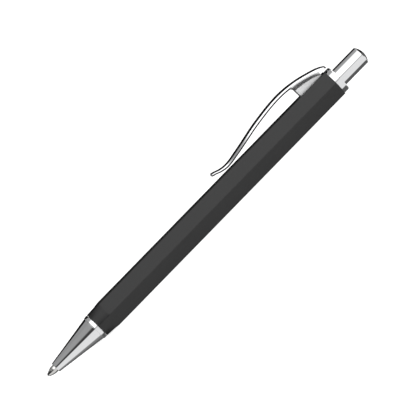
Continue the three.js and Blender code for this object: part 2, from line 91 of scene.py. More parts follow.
# Shader maths as plain expressions
class Value:
    def __init__(self, tree, socket):
        self.tree, self.socket = tree, socket

    def maths(self, operation, first, second=None):
        made = self.tree.nodes.new("ShaderNodeMath")
        made.operation = operation
        for slot, given in enumerate((first, second)):
            if isinstance(given, Value):
                self.tree.links.new(given.socket, made.inputs[slot])
            elif given is not None:
                made.inputs[slot].default_value = given
        return Value(self.tree, made.outputs[0])

    def __add__(self, other):
        return self.maths("ADD", self, other)

    __radd__ = __add__

    def __sub__(self, other):
        return self.maths("SUBTRACT", self, other)

    def __rsub__(self, other):
        return self.maths("SUBTRACT", other, self)

    def __mul__(self, other):
        return self.maths("MULTIPLY", self, other)

    __rmul__ = __mul__

    def __truediv__(self, other):
        return self.maths("DIVIDE", self, other)

    def __neg__(self):
        return self.maths("MULTIPLY", self, -1)

    def clamped(self):
        return self.maths("MAXIMUM", self.maths("MINIMUM", self, 1), 0)

    def step(self, low, high):
        share = ((self - low) / (high - low)).clamped()
        return share * share * (3 - 2 * share)


class Tree:
    def __init__(self, tree):
        self.tree = tree

    def node(self, kind, settings=None, **sockets):
        made = self.tree.nodes.new(kind)
        for name, value in (settings or {}).items():
            setattr(made, name, value)
        for name, value in sockets.items():
            self.feed(made, name.replace("_", " "), value)
        return made

    def feed(self, made, name, value):
        socket = made.inputs[name]
        if isinstance(value, Value):
            self.tree.links.new(value.socket, socket)
        elif isinstance(value, bpy.types.NodeSocket):
            self.tree.links.new(value, socket)
        else:
            socket.default_value = value

    def value(self, made, output=0):
        return Value(self.tree, made.outputs[output])

    def ramp(self, factor, stops):
        made = self.node("ShaderNodeValToRGB", Fac=factor)
        elements = made.color_ramp.elements
        while len(elements) < len(stops):
            elements.new(0.5)
        for element, (position, colour) in zip(elements, sorted(stops)):
            element.position = position
            element.color = (*colour, 1)
        return made.outputs["Color"]

    def noise(self, coordinates, scale, detail=2.0, roughness=0.5):
        made = self.node("ShaderNodeTexNoise", Vector=coordinates, Scale=scale, Detail=detail,
                         Roughness=roughness)
        return self.value(made, "Fac")

    # A bump on the shader's normal
    def emboss(self, shader, height, strength, depth):
        made = self.node("ShaderNodeBump", Strength=strength, Distance=depth, Height=height)
        self.feed(shader, "Normal", made.outputs["Normal"])

    # A Mix or Add Shader on two shaders
    def joined(self, kind, first, second, **sockets):
        made = self.node(kind, **sockets)
        for socket, shader in zip(list(made.inputs)[-2:], (first, second)):
            self.tree.links.new(shader.outputs[0], socket)
        return made


def emptied(owner):
    owner.use_nodes = True
    owner.node_tree.nodes.clear()
    return Tree(owner.node_tree)


def newMaterial(name):
    material = bpy.data.materials.new(name)
    tree = emptied(material)
    shader = tree.node("ShaderNodeBsdfPrincipled")
    tree.node("ShaderNodeOutputMaterial", Surface=shader.outputs["BSDF"])
    coordinates = tree.node("ShaderNodeTexCoord").outputs["Object"]
    return material, tree, shader, coordinates


def stretched(tree, coordinates, scale):
    return tree.node("ShaderNodeMapping", Vector=coordinates, Scale=scale).outputs["Vector"]


# Soft-touch lacquer: a very dark, velvety skin with a fine grain
lacquer = {
    "dark": (0.0136, 0.0137, 0.014),
    "light": (0.0172, 0.0173, 0.0176),
    "tones": (0.3, 0.7),
    "roughness": 0.36,
    "cloudScale": 90,
    "cloudShare": 0.6,
    "cloudHaze": 0.05,
    "speckScale": 1700,
    "specks": (0.66, 0.74),
    "speckGloss": 0.04,
    "grainScale": 5200,
    "grainBump": (0.35, 0.000008),
}


def softTouch(name):
    material, tree, shader, coordinates = newMaterial(name)
    cloud = tree.noise(coordinates, lacquer["cloudScale"], 3)
    grain = tree.noise(coordinates, lacquer["grainScale"], 2, 0.6)
    specks = tree.noise(coordinates, lacquer["speckScale"], 1).step(*lacquer["specks"])
    tone = (cloud * lacquer["cloudShare"] + grain * (1 - lacquer["cloudShare"])).step(*lacquer["tones"])
    tree.feed(shader, "Base Color", tree.ramp(tone, [(0, lacquer["dark"]), (1, lacquer["light"])]))
    rough = lacquer["roughness"] + (cloud - 0.5) * lacquer["cloudHaze"] - specks * lacquer["speckGloss"]
    tree.feed(shader, "Roughness", rough)
    tree.emboss(shader, grain, *lacquer["grainBump"])
    return material


# Polished plating: nearly a mirror, with a faint haze and hairlines round the pen
plating = {
    "colour": (0.86, 0.865, 0.875),
    "shade": 0.965,
    "roughness": 0.05,
    "hazeScale": 240,
    "haze": 0.03,
    "hairlines": (400, 9000, 9000),
    "hairlineHaze": 0.02,
    "hairlineBump": (0.05, 0.000003),
}


def chromed(name, colour=plating["colour"], roughness=plating["roughness"], hairlines=plating["hairlines"]):
    material, tree, shader, coordinates = newMaterial(name)
    haze = tree.noise(coordinates, plating["hazeScale"], 3)
    hairline = tree.noise(stretched(tree, coordinates, hairlines), 1, 2, 0.7)
    shade = tuple(plating["shade"] * channel for channel in colour)
    tree.feed(shader, "Base Color", tree.ramp(haze, [(0.3, shade), (0.7, colour)]))
    tree.feed(shader, "Metallic", 1.0)
    rough = roughness + (haze - 0.5) * plating["haze"] + (hairline - 0.5) * plating["hairlineHaze"]
    tree.feed(shader, "Roughness", rough)
    tree.emboss(shader, hairline, *plating["hairlineBump"])
    return material


# Moulded plastic: slight flow marks and a fine matt skin
plastic = {
    "shade": 0.82,
    "roughness": 0.42,
    "flow": (120, 500, 500),
    "skinScale": 3800,
    "skinHaze": 0.1,
    "skinBump": (0.2, 0.00001),
}


def moulded(name, colour, roughness=plastic["roughness"]):
    material, tree, shader, coordinates = newMaterial(name)
    flow = tree.noise(stretched(tree, coordinates, plastic["flow"]), 1, 3)
    skin = tree.noise(coordinates, plastic["skinScale"], 2)
    shade = tuple(plastic["shade"] * channel for channel in colour)
    tree.feed(shader, "Base Color", tree.ramp(flow, [(0.3, shade), (0.7, colour)]))
    tree.feed(shader, "Roughness", roughness + (skin - 0.5) * plastic["skinHaze"])
    tree.emboss(shader, skin, *plastic["skinBump"])
    return material


softBlack = softTouch("softTouchBlack")
chrome = chromed("polishedChrome")
# Satin chrome for the clip's root and lug: rougher than the polished plating, with a brighter base colour as
# painted light that lifts the shade the barrel and arm cast on the root
satinChromePaintedLight = chromed("satinChromePaintedLight", (0.95, 0.955, 0.96), 0.4)
nickelSilver = chromed("nickelSilver", (0.7, 0.695, 0.68), 0.1)
steelTube = chromed("drawnSteel", (0.62, 0.62, 0.61), 0.22, (9000, 300, 300))
springSteel = chromed("springSteel", (0.5, 0.5, 0.51), 0.28)
turnedBrass = chromed("turnedBrass", (0.72, 0.52, 0.2), 0.2)
ballCarbide = chromed("ballCarbide", (0.3, 0.31, 0.33), 0.08)
paleAcetal = moulded("paleAcetal", (0.72, 0.7, 0.63))
blackAcetal = moulded("blackAcetal", (0.018, 0.018, 0.02))
inkPaste = moulded("inkPaste", (0.006, 0.01, 0.08), 0.2)
print("materials made")


# A smooth piece whose edges over a given angle stay crisp
def finishMesh(name, mesh, material, crisp=32):
    work = bmesh.new()
    work.from_mesh(mesh)
    bmesh.ops.remove_doubles(work, verts=work.verts, dist=1e-8)
    bmesh.ops.recalc_face_normals(work, faces=work.faces)
    for edge in work.edges:
        edge.smooth = len(edge.link_faces) == 2 and edge.calc_face_angle(0) < math.radians(crisp)
    for face in work.faces:
        face.smooth = True
    work.to_mesh(mesh)
    work.free()
    mesh.materials.clear()
    mesh.materials.append(material)
    piece = bpy.data.objects.new(name, mesh)
    bpy.context.scene.collection.objects.link(piece)
    return piece


def skinRings(name, rings, material, closed=False, crisp=32):
    size = len(rings[0])
    faces = []
    pairs = len(rings) if closed else len(rings) - 1
    for row in range(pairs):
        following = (row + 1) % len(rings)
        for i in range(size):
            j = (i + 1) % size
            faces.append((row * size + i, row * size + j, following * size + j, following * size + i))
    if not closed:
        faces.append(tuple(range(size)))
        faces.append(tuple((len(rings) - 1) * size + i for i in range(size)))
    mesh = bpy.data.meshes.new(name)
    mesh.from_pydata([point for ring in rings for point in ring], [], faces)
    return finishMesh(name, mesh, material, crisp)


# Rounds the corners of a profile of (station, radius, fillet), and keeps the long faces flat beside them
def rounded(profile, closed=False, parts=6, support=0.04):
    points = []
    count = len(profile)
    for i, (at, radius, fillet) in enumerate(profile):
        here = Vector((at, radius))
        atEnd = not closed and i in (0, count - 1)
        if atEnd or not fillet:
            points.append(tuple(here))
            continue
        before = (Vector(profile[i - 1][:2]) - here).normalized()
        after = (Vector(profile[(i + 1) % count][:2]) - here).normalized()
        half = before.angle(after) / 2
        reach = fillet / math.tan(half)
        centre = here + (before + after).normalized() * fillet / math.sin(half)
        start = here + before * reach - centre
        end = here + after * reach - centre
        turn = math.atan2(start.x * end.y - start.y * end.x, start.dot(end))
        points.append(tuple(here + before * (reach + support)))
        for k in range(parts + 1):
            points.append(tuple(centre + Matrix.Rotation(turn * k / parts, 2) @ start))
        points.append(tuple(here + after * (reach + support)))
    return points


def turned(name, profile, material, around=144, closed=False):
    vertices, rings, faces = [], [], []
    for at, radius in profile:
        if radius < 1e-6:
            rings.append([len(vertices)] * around)
            vertices.append(place(at, 0, 0))
            continue
        rings.append(list(range(len(vertices), len(vertices) + around)))
        for i in range(around):
            angle = 2 * math.pi * i / around
            vertices.append(place(at, -radius * math.sin(angle), radius * math.cos(angle)))
    for row in range(len(rings) if closed else len(rings) - 1):
        first, second = rings[row], rings[(row + 1) % len(rings)]
        for i in range(around):
            j = (i + 1) % around
            corners = [first[i], first[j], second[j], second[i]]
            kept = [c for k, c in enumerate(corners) if c not in corners[:k]]
            if len(kept) > 2:
                faces.append(kept)
    mesh = bpy.data.meshes.new(name)
    mesh.from_pydata(vertices, [], faces)
    return finishMesh(name, mesh, material)


def standFor(piece, body, node):
    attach(piece, body)
    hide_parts(node)
    return piece


def bakeModifiers(piece):
    evaluated = piece.evaluated_get(bpy.context.evaluated_depsgraph_get())
    mesh = bpy.data.meshes.new_from_object(evaluated)
    piece.modifiers.clear()
    piece.data = mesh


# Smooth line through (station, height) points, as heights by station
def heightAlong(points):
    def segment(i, t):
        p = [Vector(points[min(max(k, 0), len(points) - 1)]) for k in (i - 1, i, i + 1, i + 2)]
        v0, v1 = (p[2] - p[0]) * 0.5, (p[3] - p[1]) * 0.5
        bend = (2 * p[1] - 2 * p[2] + v0 + v1) * t**3 + (-3 * p[1] + 3 * p[2] - 2 * v0 - v1) * t**2
        return bend + v0 * t + p[1]

    def height(at):
        i = max(k for k in range(len(points) - 1) if k == 0 or points[k][0] <= at)
        low, high = 0.0, 1.0
        for _ in range(40):
            middle = (low + high) / 2
            if segment(i, middle).x < at:
                low = middle
            else:
                high = middle
        return segment(i, low).y

    return height


def smoothStep(value, low, high):
    share = min(max((value - low) / (high - low), 0), 1)
    return share * share * (3 - 2 * share)


# Hexagonal barrel
barrel = {
    "flats": (barrelBox[1].z - barrelBox[0].z) / mm,
    "corner": 0.6,
    "cornerParts": 10,
    "sideShares": (0.02, 0.15, 0.32, 0.5, 0.68, 0.85, 0.98),
    "frontRadius": radiusOf("nose_ring") + 0.05,
    "blend": 5.1,
    "blendRings": 16,
    "lengthRings": 24,
    "edge": 0.13,
    "support": 0.04,
    "bore": 3.8,
    "frontBore": 4.0,
    "frontBoreLength": 7.6,
    "chamfer": 0.1,
    "slot": (118.0, 120.6, 1.1),
    "slotHeights": (2, 7),
    "collarLap": 0.3,
}


# Corners of the hexagon with rounded edges, as (side, height) points
def hexRing(flats, corner):
    centre = (flats / 2 - corner) / math.cos(math.pi / 6)
    parts = barrel["cornerParts"]
    ring = []
    for side in range(6):
        middle = math.pi / 6 + side * math.pi / 3

        def arc(turn):
            angle = middle + turn
            return Vector((
                -centre * math.sin(middle) - corner * math.sin(angle),
                centre * math.cos(middle) + corner * math.cos(angle),
            ))

        ring += [arc((i / parts - 0.5) * math.pi / 3) for i in range(parts + 1)]
        start = arc(math.pi / 6)
        nextSide = middle + math.pi / 3
        lead = middle + math.pi / 6
        end = Vector((
            -centre * math.sin(nextSide) - corner * math.sin(lead),
            centre * math.cos(nextSide) + corner * math.cos(lead),
        ))
        ring += [start.lerp(end, share) for share in barrel["sideShares"]]
    return [tuple(point) for point in ring]


# A ring that is round at share 0 and hexagonal at share 1
def barrelRing(at, share, inset=0.0):
    radius = barrel["frontRadius"] - inset
    ring = []
    for side, height in hexRing(barrel["flats"] - 2 * inset, barrel["corner"] - inset):
        scale = share + (1 - share) * radius / math.hypot(side, height)
        ring.append(place(at, side * scale, height * scale))
    return ring


def boreRing(at, radius):
    ring = []
    for side, height in hexRing(barrel["flats"], barrel["corner"]):
        reach = math.hypot(side, height)
        ring.append(place(at, side * radius / reach, height * radius / reach))
    return ring


def cutSlot(shell):
    front, rear, half = barrel["slot"]
    corners = [place(x, y, z) for x in (front, rear) for y in (-half, half) for z in barrel["slotHeights"]]
    faces = [(0, 1, 3, 2), (4, 6, 7, 5), (0, 4, 5, 1), (2, 3, 7, 6), (0, 2, 6, 4), (1, 5, 7, 3)]
    mesh = bpy.data.meshes.new("slotCutter")
    mesh.from_pydata(corners, [], faces)
    cutter = bpy.data.objects.new("slotCutter", mesh)
    bpy.context.scene.collection.objects.link(cutter)
    cut = shell.modifiers.new("clipSlot", "BOOLEAN")
    cut.operation, cut.object, cut.solver = "DIFFERENCE", cutter, "EXACT"
    bakeModifiers(shell)
    bpy.data.objects.remove(cutter)


def makeBarrel():
    front, rear = stationsOf("barrel")
    rear -= barrel["collarLap"]
    edge, blend, support = barrel["edge"], barrel["blend"], barrel["support"]
    bore, frontBore, chamfer = barrel["bore"], barrel["frontBore"], barrel["chamfer"]
    arc = [(edge * (1 - math.cos(a)), edge * (1 - math.sin(a))) for a in (0, 0.4, 0.8, 1.2, math.pi / 2)]
    rings = [barrelRing(front + along, 0, inset) for along, inset in arc]
    rings.append(barrelRing(front + edge + support, 0))
    count = barrel["blendRings"]
    for i in range(1, count):
        rings.append(barrelRing(front + edge + 0.1 + (blend - edge - 0.2) * i / count, i / count))
    rings += [barrelRing(front + blend - 0.05, 0.995), barrelRing(front + blend + 0.05, 1)]
    count = barrel["lengthRings"]
    length = rear - front - blend - edge
    rings += [barrelRing(front + blend + length * i / count, 1) for i in range(1, count)]
    rings.append(barrelRing(rear - edge - support, 1))
    rings += [barrelRing(rear - along, 1, inset) for along, inset in reversed(arc)]
    shoulder = front + barrel["frontBoreLength"]
    inside = [(rear, bore + chamfer), (rear - chamfer, bore), (shoulder, bore),
              (shoulder, frontBore), (front + chamfer, frontBore), (front, frontBore + chamfer)]
    rings += [boreRing(at, radius) for at, radius in inside]
    shell = skinRings("barrelShell", rings, softBlack, closed=True, crisp=40)
    cutSlot(shell)
    return shell


standFor(makeBarrel(), "barrel", "barrel")
print("barrel made")

# Turned chrome parts
nose = {
    "mouth": 1.725,
    "base": 4.2,
    "bore": 1.4,
    "springSeat": 9.5,
    "springBore": 2.3,
    "refillBore": 3.1,
    "flare": (14.95, 17.45),
    "threadRoot": 3.4,
    "edge": 0.16,
    "ringGap": 0.03,
}
mouthAt, spigotEnd = stationsOf("nose_cone")
ringAt, ringEnd = stationsOf("nose_ring")
noseEnd = ringAt - nose["ringGap"]
coneProfile = rounded([
    (mouthAt, nose["bore"], 0.08),
    (mouthAt, nose["mouth"], nose["edge"]),
    (noseEnd, nose["base"], 0.04),
    (noseEnd, nose["threadRoot"], 0),
    (spigotEnd, nose["threadRoot"], 0.12),
    (spigotEnd, nose["refillBore"], 0.08),
    (nose["flare"][1], nose["refillBore"], 0),
    (nose["flare"][0], nose["springBore"], 0),
    (nose["springSeat"], nose["springBore"], 0),
    (nose["springSeat"], nose["bore"], 0),
], closed=True)
standFor(turned("noseConeShell", coneProfile, chrome, closed=True), "nose", "nose_cone")

band = {"radius": radiusOf("nose_ring"), "bore": 3.64, "edge": 0.16, "boreEdge": 0.05}
ringProfile = rounded([
    (ringAt, band["bore"], band["boreEdge"]),
    (ringAt, band["radius"], band["edge"]),
    (ringEnd, band["radius"], band["edge"]),
    (ringEnd, band["bore"], band["boreEdge"]),
], closed=True)
standFor(turned("noseRingBand", ringProfile, chrome, closed=True), "nose", "nose_ring")

collar = {
    "radius": radiusOf("rear_collar"),
    "spigot": 3.77,
    "bore": radiusOf("button_cap") + 0.1,
    "chamfer": 0.26,
    "barrelGap": 0.03,
}
spigotAt, collarEnd = stationsOf("rear_collar")
collarAt = stationsOf("barrel")[1] - barrel["collarLap"] + collar["barrelGap"]
collarProfile = rounded([
    (spigotAt, collar["bore"], 0.08),
    (spigotAt, collar["spigot"], 0.1),
    (collarAt, collar["spigot"], 0),
    (collarAt, collar["radius"], 0.05),
    (collarEnd - collar["chamfer"], collar["radius"], 0.08),
    (collarEnd, collar["radius"] - collar["chamfer"], 0.08),
    (collarEnd, collar["bore"], 0.12),
], closed=True)
standFor(turned("collarFlange", collarProfile, chrome, closed=True), "barrel", "rear_collar")

button = {
    "radius": radiusOf("button_cap"),
    "wall": 0.7,
    "dome": 0.95,
    "domeParts": 16,
    "edge": 0.25,
    "edgeLead": 0.18,
}
capFront, capEnd = stationsOf("button_cap")
rim = button["radius"] - button["edge"]
buttonBore = button["radius"] - button["wall"]
sphere = (rim**2 + button["dome"] ** 2) / (2 * button["dome"])
shellEnd = capEnd - button["dome"]
dome = []
for k in range(button["domeParts"] - 1, -1, -1):
    out = rim * k / button["domeParts"]
    dome.append((capEnd - sphere + math.sqrt(sphere**2 - out**2), out))
buttonSide = rounded([
    (capFront, buttonBore, 0),
    (capFront, button["radius"], 0.12),
    (shellEnd - button["edgeLead"], button["radius"], button["edge"]),
    dome[0] + (0,),
], parts=8)
shellTop = shellEnd - button["edge"] - button["wall"]
buttonProfile = [(shellTop, 0), (shellTop, buttonBore), *buttonSide, *dome[1:]]
standFor(turned("pushButton", buttonProfile, chrome), "button", "button_cap")
print("turned chrome made")

# Writing point and refill
point = {
    "stem": 1.28,
    "neckAt": 11.8,
    "insert": 0.85,
    "insertEnd": 15.8,
    "bore": 0.19,
    "full": 2.9,
    "lip": 0.27,
    "wall": 0.06,
    "ball": 0.45,
    "play": 0.02,
    "cupFrom": 0.42,
    "parts": 24,
}
socket = point["ball"] + point["play"]
lipRadius = math.sqrt(socket**2 - (point["ball"] - point["lip"]) ** 2)
outerTip = []
for k in range(point["parts"] + 1):
    share = k / point["parts"]
    lift = (point["stem"] - lipRadius - point["wall"]) * math.sin(share * math.pi / 2)
    outerTip.append((point["lip"] + (point["full"] - point["lip"]) * share, lipRadius + point["wall"] + lift))
cupTo = math.pi - math.asin(lipRadius / socket)
cup = []
for k in range(11):
    angle = point["cupFrom"] + (cupTo - point["cupFrom"]) * k / 10
    cup.append((point["ball"] + socket * math.cos(angle), socket * math.sin(angle)))
tipProfile = [
    *outerTip,
    (point["full"] + 0.1, point["stem"]),
    (point["neckAt"], point["stem"]),
    (point["neckAt"], point["insert"]),
    (point["insertEnd"], point["insert"]),
    (point["insertEnd"], point["bore"]),
    *cup,
]
standFor(turned("refillPoint", tipProfile, nickelSilver, 96, closed=True), "refill", "refill_tip")

ballProfile = [(0, 0)]
for k in range(1, point["parts"]):
    angle = math.pi * k / point["parts"]
    ballProfile.append((point["ball"] * (1 - math.cos(angle)), point["ball"] * math.sin(angle)))
ballProfile.append((2 * point["ball"], 0))
standFor(turned("rollerBall", ballProfile, ballCarbide, 48), "ball", "writing_ball")

tube = {
    "radius": radiusOf("refill_tube"),
    "wall": 0.3,
    "neck": 1.45,
    "neckBore": 0.88,
    "shoulder": (18.0, 19.5),
    "middle": 60,
}
tubeAt, tubeEnd = stationsOf("refill_tube")
tubeBore = tube["radius"] - tube["wall"]
tubeProfile = rounded([
    (tubeAt, tube["neckBore"], 0),
    (tubeAt, tube["neck"], 0.15),
    (tube["shoulder"][0], tube["neck"], 0.3),
    (tube["shoulder"][1], tube["radius"], 0.5),
    (tube["middle"], tube["radius"], 0),
    (tubeEnd, tube["radius"], 0.1),
    (tubeEnd, tubeBore, 0),
    (tube["shoulder"][1] + tube["wall"], tubeBore, 0),
    (tube["shoulder"][0] + tube["wall"], tube["neckBore"], 0),
], closed=True)
standFor(turned("refillBody", tubeProfile, steelTube, closed=True), "refill", "refill_tube")
print("refill made")


# Geometry node trees for what winds round the pen's axis
def windingTree(name, material, sides):
    group = bpy.data.node_groups.new(name, "GeometryNodeTree")
    group.interface.new_socket("Geometry", in_out="OUTPUT", socket_type="NodeSocketGeometry")
    sockets = {}
    for title in ("Turns", "Coil Radius", "Wire Radius", "Length", "Closed Ends"):
        sockets[title] = group.interface.new_socket(title, in_out="INPUT", socket_type="NodeSocketFloat")
    tree = Tree(group)
    given = tree.node("NodeGroupInput").outputs
    spiral = tree.node("GeometryNodeCurveSpiral", Resolution=48, Rotations=given["Turns"],
                       Start_Radius=given["Coil Radius"], End_Radius=given["Coil Radius"],
                       Height=given["Length"])
    where = tree.node("ShaderNodeSeparateXYZ", Vector=tree.node("GeometryNodeInputPosition").outputs[0])
    along = tree.value(where, "Z") / Value(group, given["Length"])
    wave = along.maths("SINE", along * (2 * math.pi))
    shift = -(wave * Value(group, given["Closed Ends"]) * Value(group, given["Length"]) / (2 * math.pi))
    offset = tree.node("ShaderNodeCombineXYZ", Z=shift)
    crowded = tree.node("GeometryNodeSetPosition", Geometry=spiral.outputs[0], Offset=offset.outputs[0])
    wire = tree.node("GeometryNodeCurvePrimitiveCircle", Resolution=sides, Radius=given["Wire Radius"])
    tubeMesh = tree.node("GeometryNodeCurveToMesh", Curve=crowded.outputs[0], Profile_Curve=wire.outputs[0],
                         Fill_Caps=True)
    turnedMesh = tree.node("GeometryNodeTransform", Geometry=tubeMesh.outputs[0],
                           Rotation=(0, math.pi / 2, 0))
    real = tree.node("GeometryNodeRealizeInstances", Geometry=turnedMesh.outputs[0])
    painted = tree.node("GeometryNodeSetMaterial", Geometry=real.outputs[0], Material=material)
    output = tree.node("NodeGroupOutput")
    group.links.new(painted.outputs[0], output.inputs[0])
    return group, {title: made.identifier for title, made in sockets.items()}


def wound(name, material, sides, at, sizes, crisp):
    group, identifiers = windingTree(name + "Tree", material, sides)
    mesh = bpy.data.meshes.new(name)
    piece = bpy.data.objects.new(name, mesh)
    bpy.context.scene.collection.objects.link(piece)
    winding = piece.modifiers.new("winding", "NODES")
    winding.node_group = group
    for title, size in sizes.items():
        winding[identifiers[title]] = size
    bpy.context.view_layer.update()
    bakeModifiers(piece)
    made = piece.data
    bpy.data.objects.remove(piece)
    made.transform(Matrix.Translation(place(at, 0, 0)))
    return finishMesh(name, made, material, crisp)


spring = {"turns": 9, "wire": 0.2}
springAt, springEnd = stationsOf("return_spring")
springWire = wound("returnSpringWire", springSteel, 12, springAt + spring["wire"], {
    "Turns": float(spring["turns"]),
    "Coil Radius": (radiusOf("return_spring") - spring["wire"]) * mm,
    "Wire Radius": spring["wire"] * mm,
    "Length": (springEnd - springAt - 2 * spring["wire"]) * mm,
    "Closed Ends": 0.5,
}, 50)
place(springAt, 0, 0)
place(springEnd, 0, 0)
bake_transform(springWire)
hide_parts("return_spring")

thread = {"start": 1.4, "turns": 5.6, "pitch": 1.0, "ridge": 0.17}
threadRidge = wound("noseThread", chrome, 3, ringEnd + thread["start"], {
    "Turns": thread["turns"],
    "Coil Radius": nose["threadRoot"] * mm,
    "Wire Radius": thread["ridge"] * mm,
    "Length": thread["turns"] * thread["pitch"] * mm,
    "Closed Ends": 0.0,
}, 50)
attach(threadRidge, "nose")
print("spring and thread wound")

# Clip: a bowed arm on an upright root. Reaches run forwards from its rear end, heights up from the barrel.
clip = {
    "outer": [(49.2, 3.25), (47.8, 2.98), (45.6, 2.24), (42.6, 2.05), (36.6, 3.03), (27.6, 4.7), (18.1, 5.61),
              (10.6, 4.97), (3.2, 2.96), (0, 1.28)],
    "thickness": 1.45,
    "tipThickness": 1.2,
    "endThickness": 1.05,
    "thinning": (4, 0.5),
    "halfWidth": 2.25,
    "tipHalfWidth": 1.3,
    "tipCorner": 0.6,
    "taper": (2.0, 18.0),
    "endRound": 0.5,
    "crown": 0.47,
    "crownBend": (1.3, 2.0),
    "lean": 0.16,
    "edge": 0.1,
    "bevel": 0.5,
    "bevelEnd": (5.0, 2.5),
    "bevelLoss": 0.9,
    "lowerEdge": 0.06,
    "bendEnd": 6,
    "bendHeights": (9, 7),
    "rings": 90,
}
root = {
    "reach": 12.2,
    "length": 9.4,
    "halfWidth": 0.85,
    "rearHalfWidth": 1.8,
    "corner": 0.5,
    "side": [(12.2, 2.36), (8.9, 2.02), (5.8, 1.37), (4.3, 0.9), (2.8, 0.25)],
    "flare": 1.7,
    "straight": (0.8, 0.72),
    "intoArm": 0.4,
    "intoArmLoss": 0.3,
    "lap": 0.03,
    "proud": 0.004,
    "fillet": 1.2,
    "filletRings": 10,
    "rings": 36,
}
lug = {
    "reach": 10.4,
    "length": 2.2,
    "halfWidth": 0.9,
    "intoRoot": 0.6,
    "toe": 0.9,
    "toeTop": 3.3,
    "toeThickness": 0.4,
}
clipTip, clipEnd = stationsOf("clip")
flat = barrel["flats"] / 2
rootFront = clipEnd - root["reach"]


def overFlat(points):
    return heightAlong([(clipEnd - reach, flat + height) for reach, height in points])


clipOuter = overFlat(clip["outer"])
rootSide = overFlat(root["side"])


def roundOff(distance, radius):
    return 1 if distance >= radius else math.sqrt(max(1 - (1 - distance / radius) ** 2, 0))


def clipHalfWidth(at):
    fromTip, fromEnd = at - clipTip, clipEnd - at
    grown = smoothStep(fromTip, *clip["taper"])
    straight = clip["tipHalfWidth"] + (clip["halfWidth"] - clip["tipHalfWidth"]) * grown
    return straight * roundOff(fromTip, clip["tipCorner"]) * roundOff(fromEnd, clip["halfWidth"])


# Heights of the clip's two faces along its middle, and the share of its thickness that its rounded ends leave
def clipFaces(at):
    grown = smoothStep(at - clipTip, 0, clip["taper"][1] / 2)
    thickness = clip["tipThickness"] + (clip["thickness"] - clip["tipThickness"]) * grown
    start, end = clip["thinning"]
    thickness += (clip["endThickness"] - clip["thickness"]) * smoothStep(at, clipEnd - start, clipEnd - end)
    share = roundOff(min(at - clipTip, clipEnd - at), clip["endRound"])
    middle = clipOuter(at) - thickness / 2
    return middle + share * thickness / 2, middle - share * thickness / 2, share


def clipBevel(at):
    start, end = clip["bevelEnd"]
    return clip["bevel"] * (1 - clip["bevelLoss"] * smoothStep(at, clipEnd - start, clipEnd - end))


# A whole ring from its half section, which starts and ends at the middle
def bothSides(at, half):
    other = [(-side, height) for side, height in reversed(half[1:-1])]
    return [place(at, side, height) for side, height in half + other]


def armRing(at):
    width = clipHalfWidth(at)
    top, bottom, share = clipFaces(at)
    size = min(share, width / clip["tipHalfWidth"])
    crown, lean, bevel = clip["crown"] * size, clip["lean"] * size, clipBevel(at) * size
    shoulder = width - lean
    lowerEdge = min(clip["lowerEdge"] * size, 0.4 * bevel)
    low, high = clip["crownBend"]
    bend = low + (high - low) * smoothStep(at - clipTip, *clip["taper"])
    section = [(shoulder * k / 8, top - crown * (k / 8) ** bend, 0) for k in range(8)]
    section += [
        (shoulder, top - crown, clip["edge"] * size),
        (width, bottom + bevel, lowerEdge),
        (width - bevel, bottom, lowerEdge),
        (0, bottom, 0),
    ]
    return bothSides(at, rounded(section, parts=5, support=0.02 * size))


def makeArm():
    bends = [0.08, 0.2, 0.35, 0.5, 0.7, 0.9, 1.1, 1.3, math.pi / 2]
    front = [clipTip + clip["tipCorner"] * (1 - math.cos(a)) for a in bends]
    rear = [clipEnd - clip["halfWidth"] * (1 - math.cos(a)) for a in reversed(bends)]
    count = clip["rings"]
    between = [front[-1] + (rear[0] - front[-1]) * i / count for i in range(1, count)]
    return skinRings("clipArm", [armRing(at) for at in front + between + rear], chrome, crisp=40)


# Section of the root: upright from its lowest height, then flaring out to the clip's edge
def rootRing(at, lowest, cutAt, turnedIn):
    share = min(max((at - rootFront) / root["length"], 0), 1)
    narrow = root["halfWidth"] + (root["rearHalfWidth"] - root["halfWidth"]) * share**2
    wide = clip["halfWidth"] + root["proud"]
    under = clipFaces(at)[1]
    foot = rootSide(max(at, rootFront))
    rise = min(root["flare"], under + root["intoArm"] - root["intoArmLoss"] * share - foot)
    out, up = root["straight"]

    def curve(u):
        if u < 0.5:
            side, height = 2 * out * u, 2 * up * u
        else:
            t = 2 * u - 1
            side = out * (1 - t) ** 2 + 1 - (1 - t) ** 2
            height = up * (1 - t) ** 2 + 2 * up / out * t * (1 - t) + t**2
        return narrow + (wide - narrow) * side, foot + rise * height

    low, high = 0.0, 1.0
    for _ in range(30):
        middle = (low + high) / 2
        if curve(middle)[1] < cutAt:
            low = middle
        else:
            high = middle
    flare = [curve(low + (1 - low) * k / 12) for k in range(13)]
    upright = narrow - turnedIn if turnedIn else flare[0][0]
    half = [(0, lowest), (upright, lowest)]
    for side, height in flare:
        half.append((side - turnedIn * (1 - smoothStep(height, foot, under - root["fillet"])), height))
    top = under + clipBevel(at) + root["lap"]
    return half + [(wide, top), (0, top)]


# Section of the fillet ahead of the root: a slanting skirt under the clip that widens into the root's flare
def filletRing(ahead):
    at = rootFront - root["fillet"] * ahead
    under = clipFaces(at)[1]
    depth = root["fillet"] * (1 - math.sqrt(1 - (1 - ahead) ** 2))
    inside = clip["halfWidth"] - clipBevel(at)
    skirt = [(0, under - depth), (inside - depth, under - depth)]
    skirt += [(inside - depth * (1 - k / 12), under - depth * (1 - k / 12)) for k in range(13)]
    skirt += [(inside, under + root["lap"]), (0, under + root["lap"])]
    full = rootRing(at, under - depth, under - depth, 0)
    share = (1 - ahead) ** 3
    return [(a + (c - a) * share, b + (d - b) * share) for (a, b), (c, d) in zip(skirt, full)]


